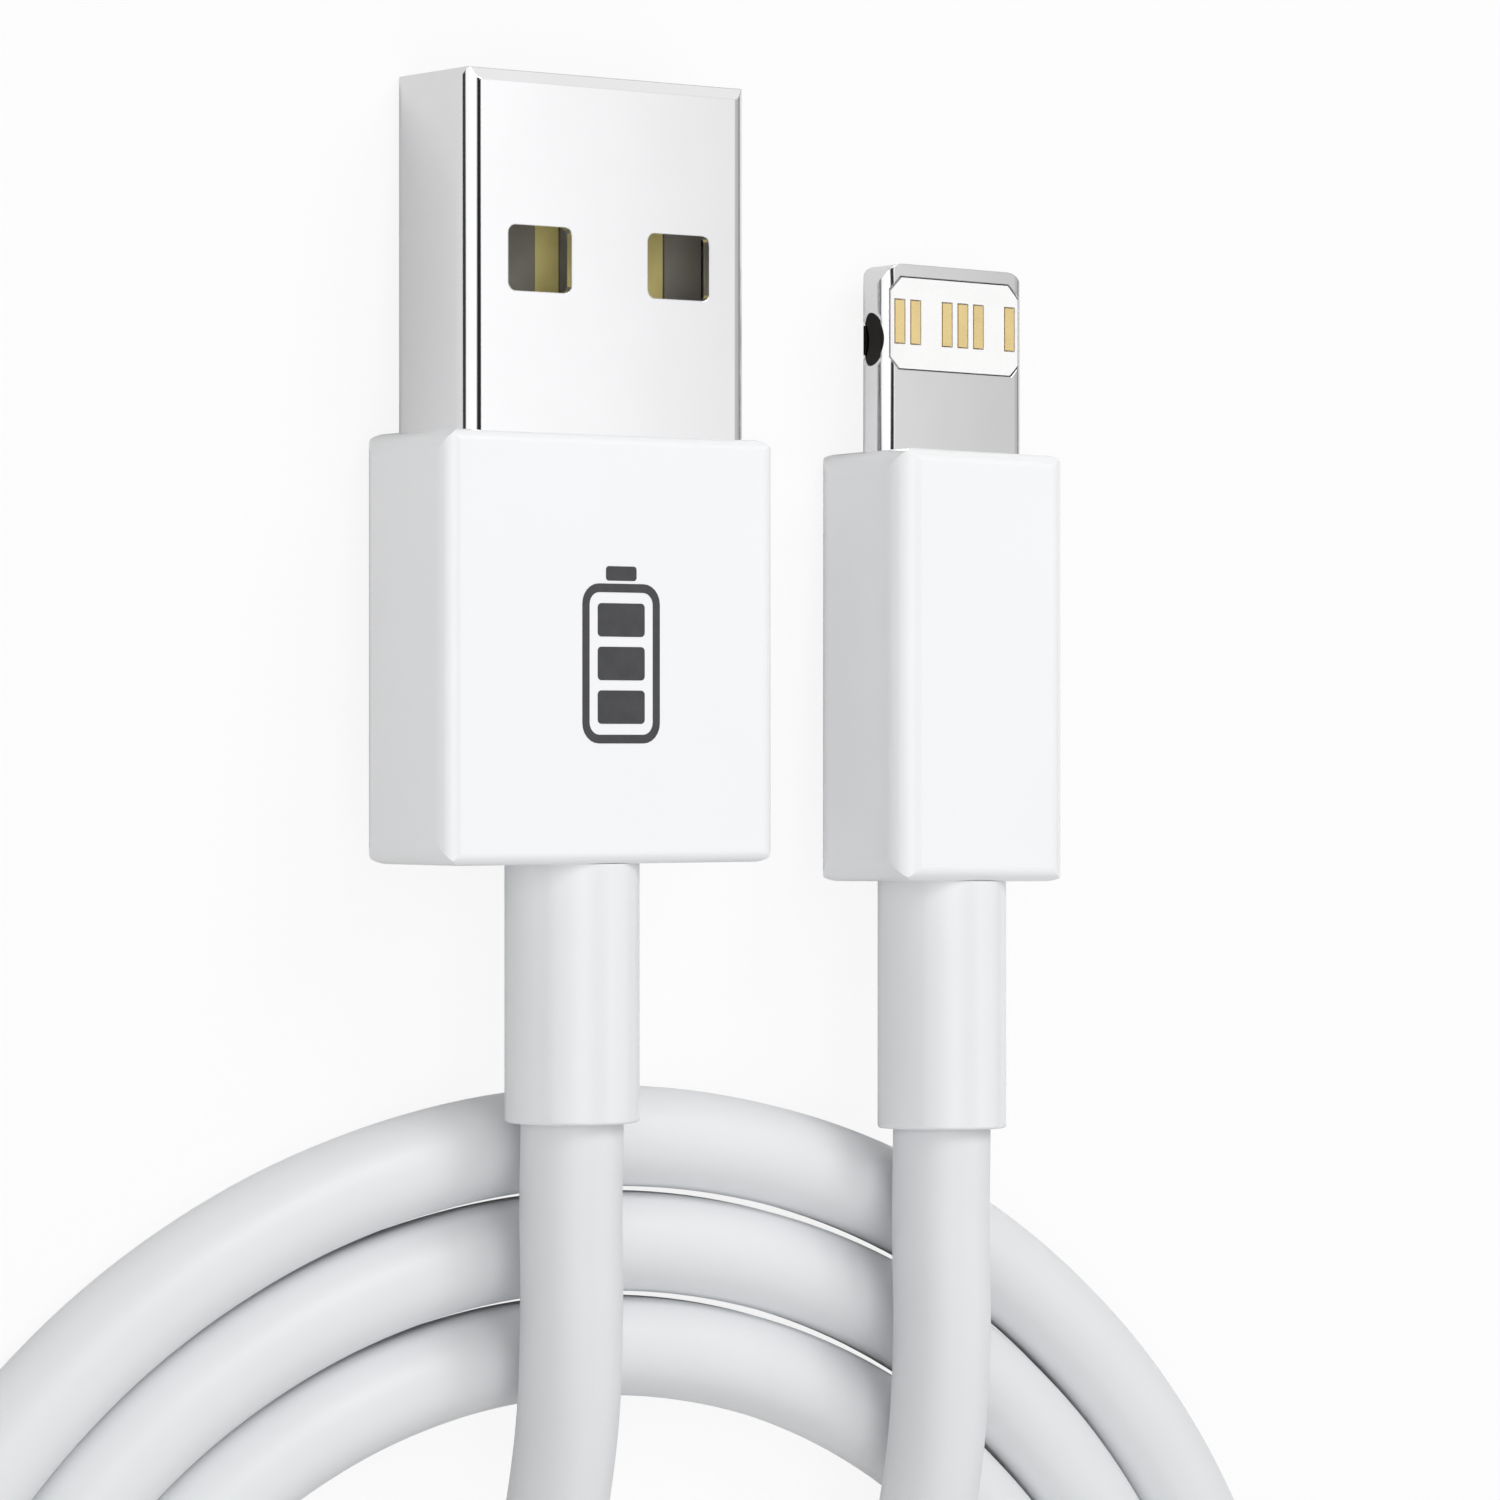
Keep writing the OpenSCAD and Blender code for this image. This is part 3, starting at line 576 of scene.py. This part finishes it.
ROOM = {
    "tips": [
        (0, 0.2), (40, 0.2), (80, 0.35), (126, 0.35), (131, 1.0), (146, 1.0), (151, 0.4),
        (180, 0.4),
    ],
    "middle": [
        (0, 0.05), (17, 0.05), (22, 1.2), (40, 1.2), (52, 1.4), (62, 2.1), (78, 2.1), (84, 1.1),
        (89, 0.9), (95, 0.03), (117, 0.03), (121, 1.26), (125, 1.23), (126, 1.19), (127.4, 1.03),
        (128.7, 0.89), (129.5, 0.88), (130.1, 0.8), (130.9, 0.66), (131.6, 0.6), (138, 0.6),
        (165, 0.5), (172, 0.15), (180, 0.1),
    ],
    "coil": [(0, 0.3), (60, 0.3), (120, 0.35), (180, 0.4)],
}
HALF_TURN = 180.0
# How far towards +Y or -Y a direction points where the middle row starts and stops to fade
ROW_FADE = (0.25, 0.60)

world = bpy.data.worlds.new("studio")
bpy.context.scene.world = world
world.use_nodes = True
world.node_tree.nodes.clear()
sky = Tree(world.node_tree)


def room_row(turn, levels):
    """The level of one row at the turn, which is a share of half a turn."""
    ramp = sky.add("ShaderNodeValToRGB", {"Fac": turn})
    ramp.color_ramp.interpolation = "EASE"
    elements = ramp.color_ramp.elements
    elements[0].position, elements[-1].position = 0.0, 1.0
    for degrees, _ in levels[1:-1]:
        elements.new(degrees / HALF_TURN)
    for element, (_, level) in zip(elements, levels):
        element.color = rgb(level, level, level)
    return ramp.outputs["Color"]


def fade(value):
    return sky.map_range(value, ROW_FADE, (0.0, 1.0), interpolation_type="SMOOTHSTEP")


direction = sky.add("ShaderNodeTexCoord").outputs["Generated"]
split = sky.add("ShaderNodeSeparateXYZ", {"Vector": direction})
to_left = sky.maths("MULTIPLY", split.outputs["X"], -1.0)
to_coil = sky.maths("MULTIPLY", split.outputs["Y"], -1.0)
turn = sky.maths("DIVIDE", sky.maths("ARCTAN2", split.outputs["Z"], to_left), math.pi)
level = sky.mix(
    fade(split.outputs["Y"]), room_row(turn, ROOM["middle"]), room_row(turn, ROOM["tips"])
)
level = sky.mix(fade(to_coil), level, room_row(turn, ROOM["coil"]))
room = sky.add("ShaderNodeBackground", {"Color": level})
white = sky.add("ShaderNodeBackground", {"Color": rgb(1, 1, 1)})
backdrop = sky.mix_shaders(
    sky.add("ShaderNodeLightPath").outputs["Is Camera Ray"],
    room.outputs["Background"],
    white.outputs["Background"],
)
sky.add("ShaderNodeOutputWorld", {"Surface": backdrop})

# ---------------------------------------------------------------- lamps
# Square soft lamps. Each has a name, a place, a point that it faces and a side, all in metres,
# and a power in watts.

LAMPS = (
    ("lamp_high", (0, 0.25, 0.33), (0, 0, 0), 0.2, 0.26),
    ("lamp_right", (0.12, 0.24, 0.26), (0, 0, 0), 0.15, 0.36),
    ("lamp_back", (0.05, -0.32, 0.28), (0, -0.02, 0), 0.2, 0.16),
)
for name, at, towards, side, power in LAMPS:
    data = bpy.data.lights.new(name, "AREA")
    data.shape = "RECTANGLE"
    data.size = data.size_y = side
    data.energy = power
    lamp = bpy.data.objects.new(name, data)
    bpy.context.scene.collection.objects.link(lamp)
    lamp.location = at
    lamp.rotation_euler = (Vector(towards) - Vector(at)).to_track_quat("-Z", "Y").to_euler()

bpy.context.scene.view_settings.view_transform = "Standard"

print("cord length %.4f m" % curve_length(knots))
bpy.context.view_layer.update()
